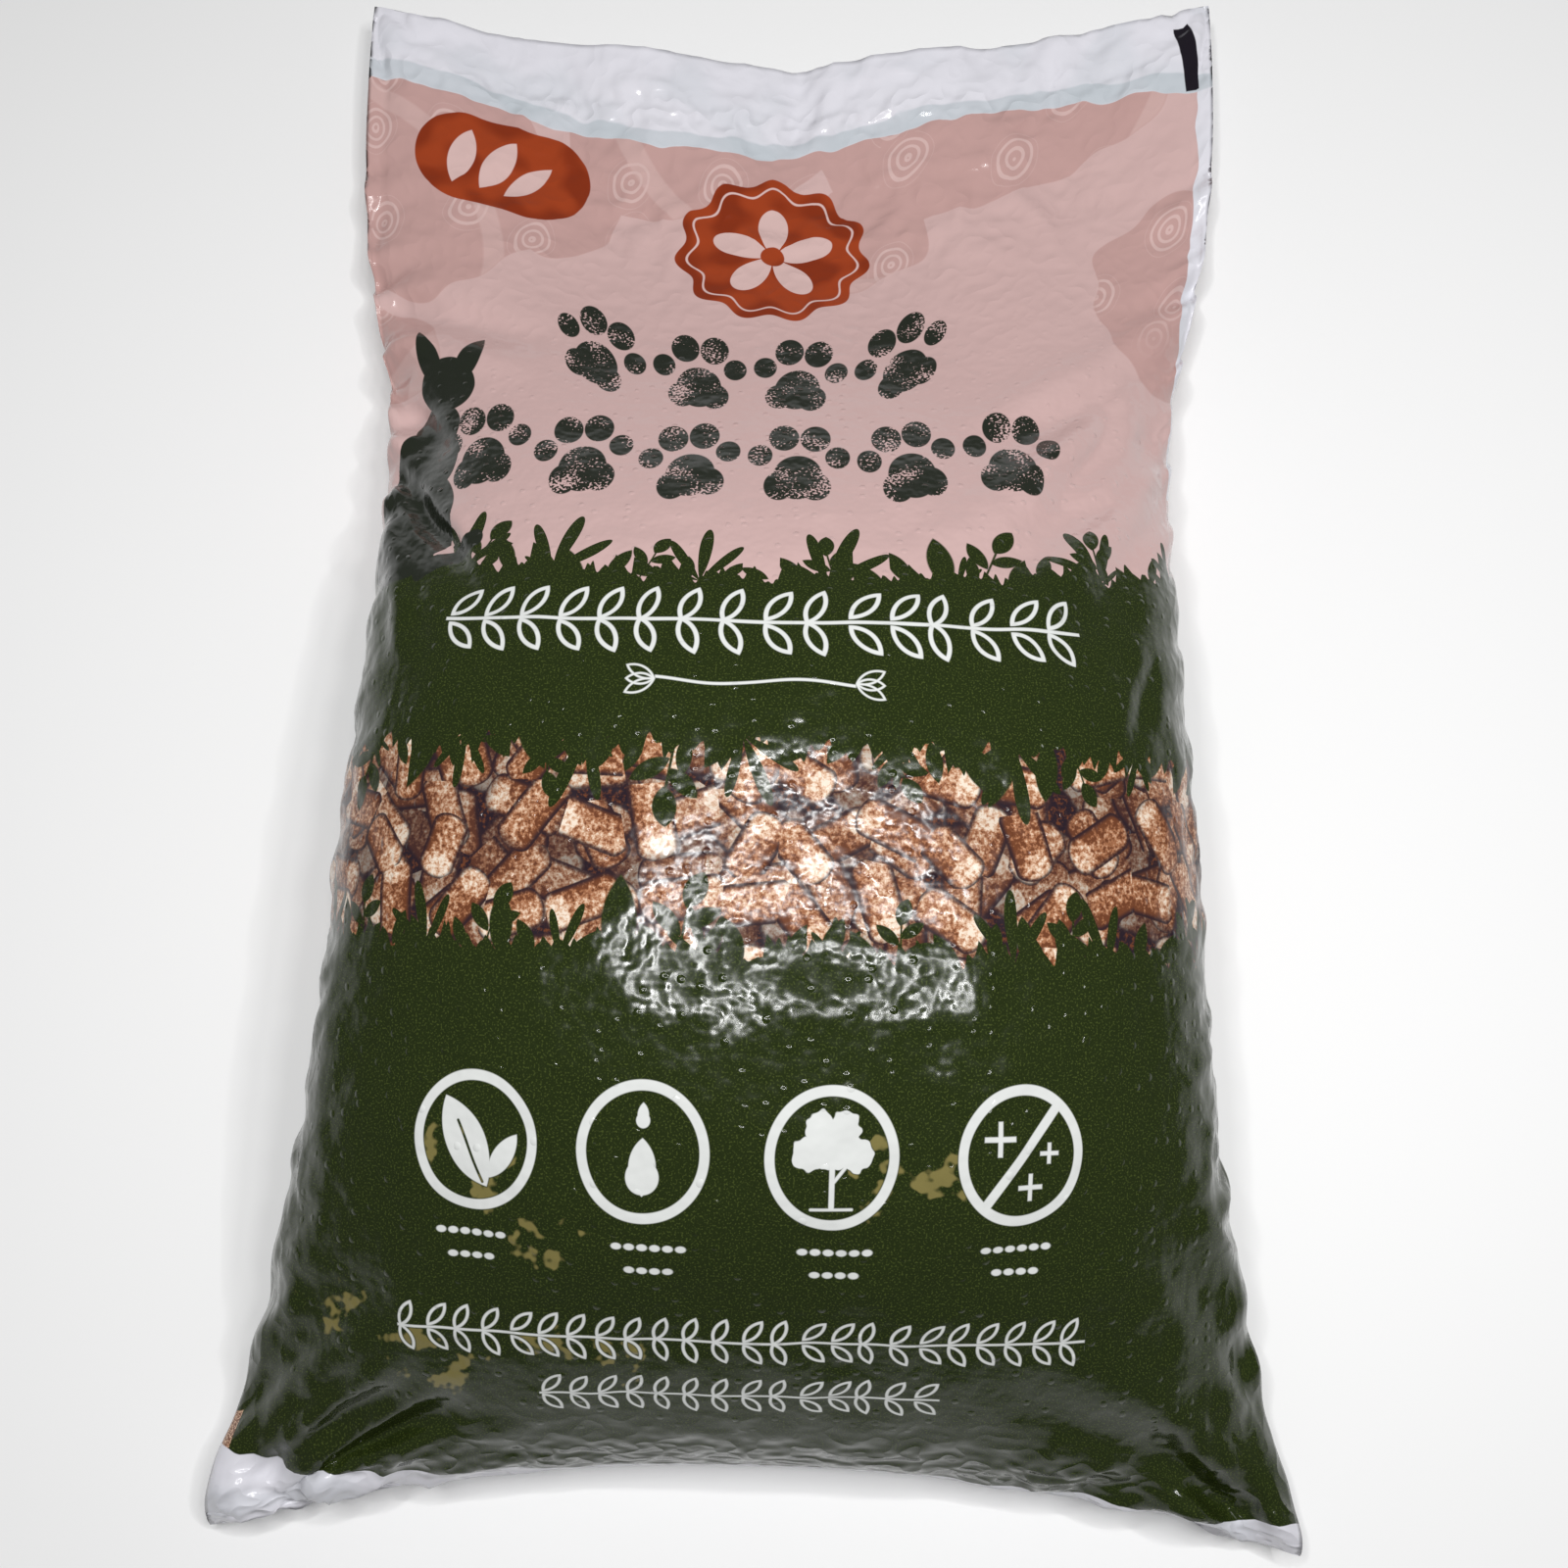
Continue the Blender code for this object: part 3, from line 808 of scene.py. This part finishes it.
def pellet_layer(colour, shift, shade):
    """The colour with a layer of rods over it, one rod in each cell, turned at random."""
    moved = vector("ADD", place, (*shift, 0.0))
    inputs = {"Vector": moved, "Scale": PELLET_CELLS, "Randomness": 0.6}
    cell = Ink.node("TexVoronoi", {"voronoi_dimensions": "2D"}, inputs, 2)
    split = Ink.node("SeparateColor", None, {0: Ink(cell.socket.node.outputs[1])})
    size, tint = (Ink(split.socket.node.outputs[number]) for number in (1, 2))
    x, y = parts(turned(vector("SUBTRACT", moved, cell), split * 6.283))
    end = size * 0.006 + 0.0085
    cut = Ink.node("VectorMath", {"operation": "LENGTH"}, {0: joined((x - end) * 1.6, y)}, 1)
    cut = cut - PELLET_RADIUS * 0.96
    beyond = upper(abs(x) - end, 0.0) * 1.6
    rod = Ink.node("VectorMath", {"operation": "LENGTH"}, {0: joined(beyond, y)}, 1) - PELLET_RADIUS
    side = (y - 0.003) / (1.3 * PELLET_RADIUS)
    tone = 0.38 - side * side * 0.65 + (wood_grain - 0.5) * 2.1 + tint * 0.30
    tone = tone + inside(cut, 0.0012) * 0.40
    wood = painted(PELLET_DARK, PELLET_TAN, fade(tone, 0.10, 0.50))
    wood = painted(wood, PELLET_LIGHT, fade(tone, 0.45, 0.85))
    wood = painted(wood, PELLET_CREAM, fade(tone, 0.80, 1.15))
    far = fade(Ink(cell.socket.node.outputs[0]), 0.44, 0.66)
    wood = painted(wood, PELLET_GAP, upper(fade(rod, -0.0030, -0.0006) * 0.9, far * 0.9))
    wood = painted(PELLET_GAP, wood, shade)
    return painted(colour, wood, inside(rod))


picture = painted(PELLET_GAP, PELLET_DARK, fade(wood_grain, 0.45, 0.75))
for shift, shade in zip(PELLET_SHIFTS, PELLET_SHADES):
    picture = pellet_layer(picture, shift, shade)
band_colour = painted(green, picture, bare)
patch = lower(across_front - PATCH[0], PATCH[1] - across_front, height - PATCH[2], PATCH[3] - height)
foot_colour = painted(green, painted(PELLET_LIGHT, PELLET_DARK, fade(dots, 0.40, 0.55)),
                      inside(0.0 - patch))


# Pink plate. The upper third is pale pink, with darker pink hills and growth rings printed tone
# on tone.

PINK = rgb(196, 166, 163)
PINK_DEEP = rgb(180, 143, 138)
PINK_RING = rgb(206, 178, 174)
RING_CELLS = 19.0
PINK_TOP = 0.835
HILLS = (((-0.235, 0.800), 0.100), ((-0.060, 0.860), 0.085), ((0.110, 0.880), 0.105),
         ((0.255, 0.700), 0.075), ((-0.250, 0.640), 0.045), ((0.040, 0.760), 0.040),
         ((-0.130, 0.770), 0.030))
SWATHS = (((-0.090, 0.600), 0.125, 0.0080), ((0.060, 0.900), 0.170, 0.0065),
          ((-0.280, 0.730), 0.110, 0.0060))

hills = lower(*[disc(place, centre, radius) for centre, radius in HILLS])
hills = hills + (noise(place, 16.0, 1.0) - 0.5) * 0.05
pink = painted(PINK, PINK_DEEP, inside(hills, 0.001) * 0.75)
inputs = {"Vector": place, "Scale": RING_CELLS, "Randomness": 0.6}
ring_cell = Ink.node("TexVoronoi", {"voronoi_dimensions": "2D"}, inputs, 2)
ring_place = turned(vector("SUBTRACT", place, ring_cell), 0.4)
ring_radius = Ink.node("VectorMath", {"operation": "LENGTH"},
                       {0: vector("MULTIPLY", ring_place, (1.0, 0.7, 0.0))}, 1)
ring_radius = ring_radius + (noise(place, 60.0, 0.0) - 0.5) * 0.003
ring_line = Ink.math("SINE", ring_radius * 1500.0)
ring_line = fade(ring_line, 0.2, 0.6) * inside(ring_radius - 0.013) * fade(height, 0.64, 0.70)
swaths = lower(*[abs(disc(place, centre, radius)) - half for centre, radius, half in SWATHS])
ring_line = upper(ring_line, inside(swaths, 0.0015) * 0.55)
pink = painted(pink, PINK_RING, ring_line * inside(hills, 0.004) * 0.7)
top_colour = painted(green, pink, bare)


# Rust marks. A pill-shaped tag and a scalloped seal are printed on the pink, each with a pale
# sprig of leaves.

RUST = rgb(150, 60, 28)
RUST_DEEP = rgb(126, 46, 20)
SPRIG = rgb(204, 174, 170)
TAG_START = (-0.188, 0.800)
TAG_END = (-0.146, 0.797)
TAG_WIDTH = 0.060
SEAL = (-0.008, 0.755)
SEAL_RADIUS = 0.054
SEAL_SCALLOP = 0.0032
SEAL_SCALLOPS = 11.0

tag = stroke(place, TAG_START, TAG_END, TAG_WIDTH)
to_seal = vector("SUBTRACT", place, (*SEAL, 0.0))
seal_x, seal_y = parts(to_seal)
seal_angle = Ink.math("ARCTAN2", seal_x, seal_y)
seal_radius = Ink.node("VectorMath", {"operation": "LENGTH"}, {0: to_seal}, 1)
scallop = Ink.math("COSINE", seal_angle * SEAL_SCALLOPS) * SEAL_SCALLOP
seal = seal_radius - scallop - SEAL_RADIUS
rust = painted(RUST, RUST_DEEP, fade(noise(place, 45.0, 0.0), 0.4, 0.7))
top_colour = painted(top_colour, rust, inside(lower(tag, seal)))
petal = abs(Ink.math("COSINE", seal_angle * 2.5)) ** 0.8 * 0.036
sprigs = upper(seal_radius - petal, 0.007 - seal_radius)
sprigs = lower(sprigs, abs(seal + 0.007) - 0.0007,
               leaf(place, (-0.196, 0.782), (-0.186, 0.820), 0.015),
               leaf(place, (-0.180, 0.782), (-0.160, 0.817), 0.015),
               leaf(place, (-0.166, 0.780), (-0.139, 0.806), 0.012))
top_colour = painted(top_colour, SPRIG, inside(sprigs))


# Dark ink on the pink. Two arched rows of paw prints stand where a pack has its name, stamped
# in worn dark ink, with a sitting cat at their left that stands in the leaves.

INK = rgb(34, 38, 30)
PAW_MIDDLE = -0.0185
PAW_PITCH = 0.0575
PAW_WIDTH = 0.0545
PAW_HEIGHT = 0.088
LOW_ROW = 0.556
LOW_ARCH = 0.4
ROW_GAP = 0.089
GAP_ARCH = 2.15

from_middle = across_front - PAW_MIDDLE
arch = from_middle * from_middle
top_row = Ink.math("GREATER_THAN", height - arch * (LOW_ARCH + 0.5 * GAP_ARCH),
                   LOW_ROW + 0.5 * ROW_GAP)
row_height = arch * LOW_ARCH + LOW_ROW + top_row * (arch * GAP_ARCH + ROW_GAP)
paw_index, paw_x = cells(from_middle, PAW_PITCH)
paw_lean = (chance(paw_index + top_row * 17.0, 0) - 0.5) * 0.45
paw = joined(paw_x / PAW_WIDTH, (height - row_height) / PAW_HEIGHT)
paw_x, paw_y = parts(turned(paw, paw_lean))
paw = joined(abs(paw_x), paw_y)
paws = lower(disc(paw, (0.0, -0.20), 0.235), disc(paw, (0.17, -0.30), 0.145),
             disc(paw, (0.155, 0.235), 0.150), disc(paw, (0.375, 0.020), 0.120)) * PAW_WIDTH
paws = upper(paws, abs(from_middle) - (3.0 - top_row) * PAW_PITCH)
cat = vector("MULTIPLY", vector("SUBTRACT", place, (-0.203, 0.470, 0.0)), (0.88, 0.66, 1.0))
cat = lower(disc(cat, (0.0, 0.020), 0.030), disc(cat, (0.001, 0.052), 0.022),
            disc(cat, (0.005, 0.072), 0.0145), disc(cat, (0.008, 0.097), 0.0155),
            leaf(cat, (0.003, 0.094), (-0.009, 0.127), 0.0115),
            leaf(cat, (0.010, 0.094), (0.026, 0.126), 0.0115),
            stroke(cat, (0.020, -0.004), (0.046, 0.010), 0.008))
worn = fade(noise(place, 620.0, 1.0) + (noise(place, 60.0, 0.0) - 0.5) * 0.7, 0.22, 0.34)
top_colour = painted(top_colour, INK, upper(inside(paws) * worn, inside(cat)))


# White ink. Leaf garlands take the place of words, a fine curl stands under the upper one, and
# four rings hold a pair of leaves, two drops, a tree and three crosses struck through.

WHITE_INK = rgb(212, 214, 212)
GARLANDS = ((0.4335, 0.0186, 0.1488), (0.1175, 0.0121, 0.1452), (0.0835, 0.0121, 0.0847))
GARLAND_MIDDLE = -0.006
RING_RADIUS = 0.0272
RING_LINE = 0.0044
RING_HEIGHT = 0.2035
RING_STRETCH = 1.10
RINGS = (-0.116, -0.046, 0.029, 0.106)
RING_PITCH = 0.0743
NOTE_PITCH = 0.0052

upper_garland = Ink.math("GREATER_THAN", height, 0.3)
middle_garland = Ink.math("GREATER_THAN", height, (GARLANDS[1][0] + GARLANDS[2][0]) / 2.0)
row = [upper_garland * (a - b) + middle_garland * (b - c) + c for a, b, c in zip(*GARLANDS)]
garland_x = (across_front - GARLAND_MIDDLE) / row[1]
garland_y = abs(height - row[0]) / row[1]
leaf_index = Ink.math("FLOOR", garland_x)
garland_leaf = turned(joined(garland_x - leaf_index - 0.5, garland_y),
                      (chance(leaf_index, 0) - 0.5) * 0.5)
garland = abs(leaf(garland_leaf, (-0.40, 0.02), (0.22, 0.98), 0.50) + 0.05) - 0.055
garland = lower(garland, garland_y - 0.05) * row[1]
garland = upper(garland, abs(across_front - GARLAND_MIDDLE) - row[2], garland_y * 0.01 - 0.0105)
top_colour = painted(top_colour, WHITE_INK, inside(garland))

curl_x = across_front + 0.007
curl = Ink.math("SINE", curl_x * 95.0) * 0.0014
curl = upper(abs(height - curl - 0.4015) - 0.0007, abs(curl_x) - 0.043)
bud = joined(abs(curl_x), height - 0.4015)
buds = [leaf(bud, (0.043, 0.0), (0.056, rise), 0.006) for rise in (0.007, 0.0, -0.007)]
curl = lower(curl, *[abs(shape + 0.0004) - 0.0005 for shape in buds])
band_colour = painted(band_colour, WHITE_INK, inside(curl))

icon = joined(across_front * RING_STRETCH, height - RING_HEIGHT)
centres = [x * RING_STRETCH for x in RINGS]
to_ring = lower(*[to_point(icon, (x, 0.0)) for x in centres])
marks = lower(garland, abs(to_ring - RING_RADIUS) - RING_LINE / 2.0)

at = centres[0]
big_leaf = leaf(icon, (at + 0.006, -0.019), (at - 0.014, 0.018), 0.019)
big_leaf = upper(big_leaf, 0.0 - stroke(icon, (at + 0.004, -0.017), (at - 0.008, 0.008), 0.0013))
small_leaf = leaf(icon, (at + 0.007, -0.015), (at + 0.020, 0.004), 0.009)
marks = lower(marks, big_leaf, small_leaf)
at = centres[1]
drops = lower(disc(icon, (at, -0.0100), 0.0074), leaf(icon, (at, -0.0180), (at, 0.0060), 0.0122),
              disc(icon, (at, 0.0130), 0.0031), leaf(icon, (at, 0.0098), (at, 0.0202), 0.0050))
marks = lower(marks, drops)
at = centres[2]
crown = [((0.0, 0.006), 0.0105), ((-0.0105, 0.002), 0.0070), ((0.0105, 0.002), 0.0070),
         ((-0.005, 0.012), 0.0070), ((0.005, 0.0125), 0.0070)]
crown = lower(*[disc(icon, (at + x, y), radius) for (x, y), radius in crown])
crown = crown + (noise(place, 260.0, 0.0) - 0.5) * 0.003
trunk = lower(bar(icon, (at, -0.011), (0.0012, 0.010)),
              stroke(icon, (at, -0.010), (at + 0.006, -0.003), 0.0015),
              stroke(icon, (at - 0.009, -0.0205), (at + 0.009, -0.0205), 0.0012))
marks = lower(marks, crown, trunk)


def cross(place, centre, half, width):
    """Distance to an upright cross."""
    off = vector("ABSOLUTE", vector("SUBTRACT", place, (*centre, 0.0)))
    x, y = parts(off)
    return lower(upper(x - half, y - width), upper(x - width, y - half))


at = centres[3]
slash = upper(bar(icon, (at, 0.0), (RING_RADIUS, 0.0021), np.radians(51.0)), to_ring - RING_RADIUS)
crosses = [((-0.0105, 0.0075), 0.0072, 0.0011), ((0.0130, 0.0010), 0.0044, 0.0009),
           ((0.0045, -0.0130), 0.0058, 0.0010)]
crosses = lower(*[cross(icon, (at + x, y), half, line) for (x, y), half, line in crosses])
marks = lower(marks, slash, crosses)

note_x = cells(across_front + 0.1546, RING_PITCH)[1]
note_row = Ink.math("GREATER_THAN", height, 0.1585)
dash_x = cells(note_x, NOTE_PITCH)[1]
dash = joined(dash_x * 0.7, height - note_row * 0.0105 - 0.1533)
dashes = upper(disc(dash, (0.0, 0.0), 0.0015), abs(note_x) - 2.0 * NOTE_PITCH - note_row * NOTE_PITCH,
               abs(across_front + 0.006) - 0.15)
marks = lower(marks, dashes)
foot_colour = painted(foot_colour, WHITE_INK, inside(marks))


# Worn places. Where pellets rubbed through the dark ink, khaki film shows in ragged patches.

KHAKI = rgb(128, 118, 70)
RUBS = ((-0.130, 0.200), (-0.085, 0.165), (-0.110, 0.185), (0.075, 0.195), (0.050, 0.200),
        (-0.085, 0.110), (-0.130, 0.095), (-0.060, 0.105), (-0.185, 0.120), (-0.145, 0.105))

rubbed = lower(*[to_point(place, centre) for centre in RUBS])
rubbed = rubbed + (noise(place, 75.0, 2.0, 0.7) - 0.5) * 0.075
rub = fade(rubbed, 0.006, -0.001)
not_marked = fade(marks, 0.0, 0.0008)
foot_colour = painted(foot_colour, KHAKI, rub * not_marked * 0.85)


# Bare film. Nothing is printed on the two ends, which are welded, nor on a strip beside the
# right fold. The film there is white, with a greyer band along the top ink's edge that is partly film
# turning clear and partly painted shade where the film bends.

BARE_FILM = rgb(214, 213, 220)
BARE_GREY = rgb(186, 192, 198)
FOOT_MIDDLE = 0.030
FOOT_LEAST = 0.003
FOOT_AT_SIDE = 0.042
TOP_SWING = 0.009
TOP_SWING_PITCH = 0.38
CLEAR_AND_SHADED_BAND = 0.011
MARGIN = (0.2385, 0.262)
MARGIN_FOOT = 0.54
EYE_MARK = (0.2325, 0.859)
EYE_HALF = (0.0046, 0.0235)
EYE_LEAN = 0.12
EYE_INK = rgb(26, 22, 30)

edge_wobble = (noise(place, 45.0, 1.0) - 0.5) * 0.008
swing = Ink.math("SINE", (across_front - 0.045) * (2.0 * np.pi / TOP_SWING_PITCH)) * TOP_SWING
over_top = height - edge_wobble - swing - PINK_TOP
from_side = abs(across_front - FOOT_MIDDLE) / (0.5 * FILM_WIDTH)
foot_edge = from_side * from_side * from_side * FOOT_AT_SIDE + FOOT_LEAST
margin = lower(across_front - MARGIN[0] + edge_wobble, MARGIN[1] - across_front,
               height - MARGIN_FOOT)
clouds = fade(noise(place, 24.0, 0.0), 0.5, 0.75) * 0.30
# Greyer band along the top ink's edge: partly film turning clear, partly painted shade where the film
# bends.
clear_and_shaded_band = fade(abs(over_top - 0.5 * CLEAR_AND_SHADED_BAND), 0.5 * CLEAR_AND_SHADED_BAND + 0.001, 0.5 * CLEAR_AND_SHADED_BAND - 0.001)
top_white = painted(BARE_FILM, BARE_GREY, clear_and_shaded_band * 0.8 + clouds)
top_colour = painted(top_colour, top_white, inside(0.0 - upper(over_top, margin)))
top_colour = painted(top_colour, EYE_INK, inside(bar(place, EYE_MARK, EYE_HALF, EYE_LEAN)))
foot_colour = painted(foot_colour, painted(BARE_FILM, BARE_GREY, clouds),
                      inside(height - foot_edge - edge_wobble))


# Surface of the film: glossy, a little duller in patches, pimpled where it lies on the ends of
# pellets, and finely crinkled at its edges and in its bare ends.

PIMPLE_CELLS = 120.0
PIMPLE_SHARE = 0.30
PIMPLE_RISE = 0.00032
GRAIN_CELLS = 140.0
GRAIN_RISE = 0.00042
CRINKLE_CELLS = 60.0
CRINKLE_RISE = 0.0014
STRIP_HEIGHT = 0.850
FILM_SPECULAR = 0.30

inputs = {"Vector": place, "Scale": PIMPLE_CELLS}
pimple = Ink.node("TexVoronoi", {"voronoi_dimensions": "2D"}, inputs)
raised = Ink.node("SeparateColor", None, {0: Ink(pimple.socket.node.outputs[1])})
raised = Ink.math("LESS_THAN", raised, PIMPLE_SHARE)
dome = Ink.math("MULTIPLY_ADD", pimple * pimple, -22.0, 1.0, clamp=True) * raised
tight = fade(height, 0.03, 0.10) * fade(height, 0.76, 0.56) * fade(abs(across_front), 0.24, 0.18)
grain = noise(place, GRAIN_CELLS, 1.0)
strip = fade(abs(height - STRIP_HEIGHT), 0.016, 0.005) * 2.2
at_end = strip + fade(height, 0.050, 0.030) * 1.6 + 1.3
crinkle = abs(noise(place, CRINKLE_CELLS, 1.0, 0.55) - 0.5) * CRINKLE_RISE * at_end
bumps = (dome * PIMPLE_RISE + grain * GRAIN_RISE + crinkle) * tight - crinkle
bump = Ink.node("Bump", None, {"Strength": 1.0, "Distance": 1.0, "Height": bumps})
roughness = grain * 0.18 + 0.06


def inked_film(colour):
    """The glossy film with this ink on it."""
    inputs = {"Base Color": colour, "Roughness": roughness, "Normal": bump,
              "IOR": 1.5, "Specular IOR Level": FILM_SPECULAR}
    return Ink.node("BsdfPrincipled", None, inputs)


inputs = {0: in_top, 1: inked_film(band_colour), 2: inked_film(top_colour)}
over_foot = Ink.node("MixShader", None, inputs)
inputs = {0: Ink.math("LESS_THAN", height, BAND_FROM), 1: over_foot, 2: inked_film(foot_colour)}
lengths = Ink.node("MixShader", None, inputs)
Ink.tree.links.new(lengths.socket, Ink.tree.nodes["Material Output"].inputs["Surface"])

film_tube = bpy.data.objects.new("film_tube", tube_mesh("film_tube", front, back))
bpy.context.scene.collection.objects.link(film_tube)
film_tube.data.materials.append(printed_film)
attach(film_tube, "root")
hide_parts("litter_bag")


# Studio. The camera stands over the foot end of the bag, close, as in the photograph. A pale
# floor, a dim white surround and a ring of small lamps overhead are all that is round it.

CAMERA_ELEVATION = np.radians(73.57)
CAMERA_ROLL = np.radians(1.457)
CAMERA_DISTANCE = 0.8159
CAMERA_TARGET = Vector((0.0063, -0.0761, 0.0600))
CAMERA_LENS = 38.25
FLOOR_WHITE = (0.82, 0.82, 0.82, 1.0)
FLOOR_DROP = 0.0005
SURROUND = 0.13
LAMPS = 12
LAMP_RING = (0.16, -0.04, 1.60)
LAMP_RING_HALF = (0.60, 0.30)
LAMP_SIZE = (0.18, 0.036)
LAMP_POWER = 2.6


def camera_at(target, elevation, roll, distance):
    """A camera that looks at target from the foot side: turned up by elevation, then rolled."""
    back = Vector((0.0, -np.cos(elevation), np.sin(elevation)))
    right = Vector((1.0, 0.0, 0.0))
    upward = back.cross(right)
    turned_right = np.cos(roll) * right + np.sin(roll) * upward
    turned_up = np.cos(roll) * upward - np.sin(roll) * right
    axes = Matrix((turned_right, turned_up, back)).transposed().to_4x4()
    return Matrix.Translation(target + distance * back) @ axes


camera = bpy.data.objects.new("camera", bpy.data.cameras.new("camera"))
camera.data.lens = CAMERA_LENS
camera.data.sensor_width = 36.0
camera.matrix_world = camera_at(CAMERA_TARGET, CAMERA_ELEVATION, CAMERA_ROLL, CAMERA_DISTANCE)
bpy.context.scene.collection.objects.link(camera)
bpy.context.scene.camera = camera

bpy.ops.mesh.primitive_plane_add(size=8.0, location=(0.0, 0.0, -FLOOR_DROP))
floor = bpy.context.object
floor.name = "floor"
paper = bpy.data.materials.new("paper")
paper.use_nodes = True
paper.node_tree.nodes["Principled BSDF"].inputs["Base Color"].default_value = FLOOR_WHITE
floor.data.materials.append(paper)

world = bpy.data.worlds.new("studio")
world.use_nodes = True
world.node_tree.nodes["Background"].inputs["Color"].default_value = (1.0, 1.0, 1.0, 1.0)
world.node_tree.nodes["Background"].inputs["Strength"].default_value = SURROUND
bpy.context.scene.world = world
bpy.context.scene.view_settings.view_transform = "Standard"

for number in range(LAMPS):
    angle = 2.0 * np.pi * number / LAMPS
    light = bpy.data.lights.new(f"lamp_{number}", "AREA")
    light.shape = "RECTANGLE"
    light.size, light.size_y = LAMP_SIZE
    light.energy = LAMP_POWER
    lamp = bpy.data.objects.new(light.name, light)
    offset = Vector((LAMP_RING_HALF[0] * np.cos(angle), LAMP_RING_HALF[1] * np.sin(angle), 0.0))
    lamp.location = Vector(LAMP_RING) + offset
    tangent = np.arctan2(LAMP_RING_HALF[1] * np.cos(angle), -LAMP_RING_HALF[0] * np.sin(angle))
    lamp.rotation_euler = (0.0, 0.0, tangent)
    bpy.context.scene.collection.objects.link(lamp)

bpy.context.view_layer.update()
